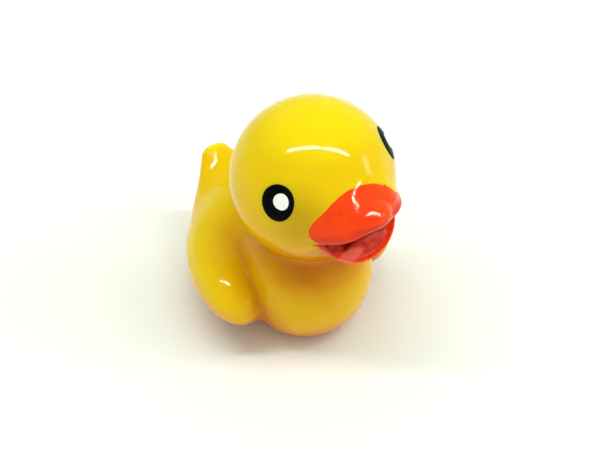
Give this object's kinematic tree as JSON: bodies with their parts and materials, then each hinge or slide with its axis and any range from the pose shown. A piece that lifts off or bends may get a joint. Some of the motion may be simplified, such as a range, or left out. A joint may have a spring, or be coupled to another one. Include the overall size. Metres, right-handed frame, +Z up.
{
  "type": "duck figurine",
  "caption": "Small cast duck figurine with a round head, open bill, side wings and an upturned tail, standing on a flat foot as a desk ornament.",
  "frame": {"origin": "on the flat foot, under the middle of the figurine's width and length", "axes": "+Z up, the duck looks along -Y, its left wing is on +X"},
  "size_m": [0.0154, 0.021, 0.0197],
  "materials": {
    "yellow_resin": "glossy yellow cast resin, with the bill painted orange-red and the eyes painted black with white dots",
    "eye_black": "glossy black paint of the eyes, a film on the casting",
    "eye_white": "glossy white paint dot in each eye, a film on the casting"
  },
  "bodies": {
    "root": {"duck_figurine": "yellow_resin"}
  },
  "joints": []
}
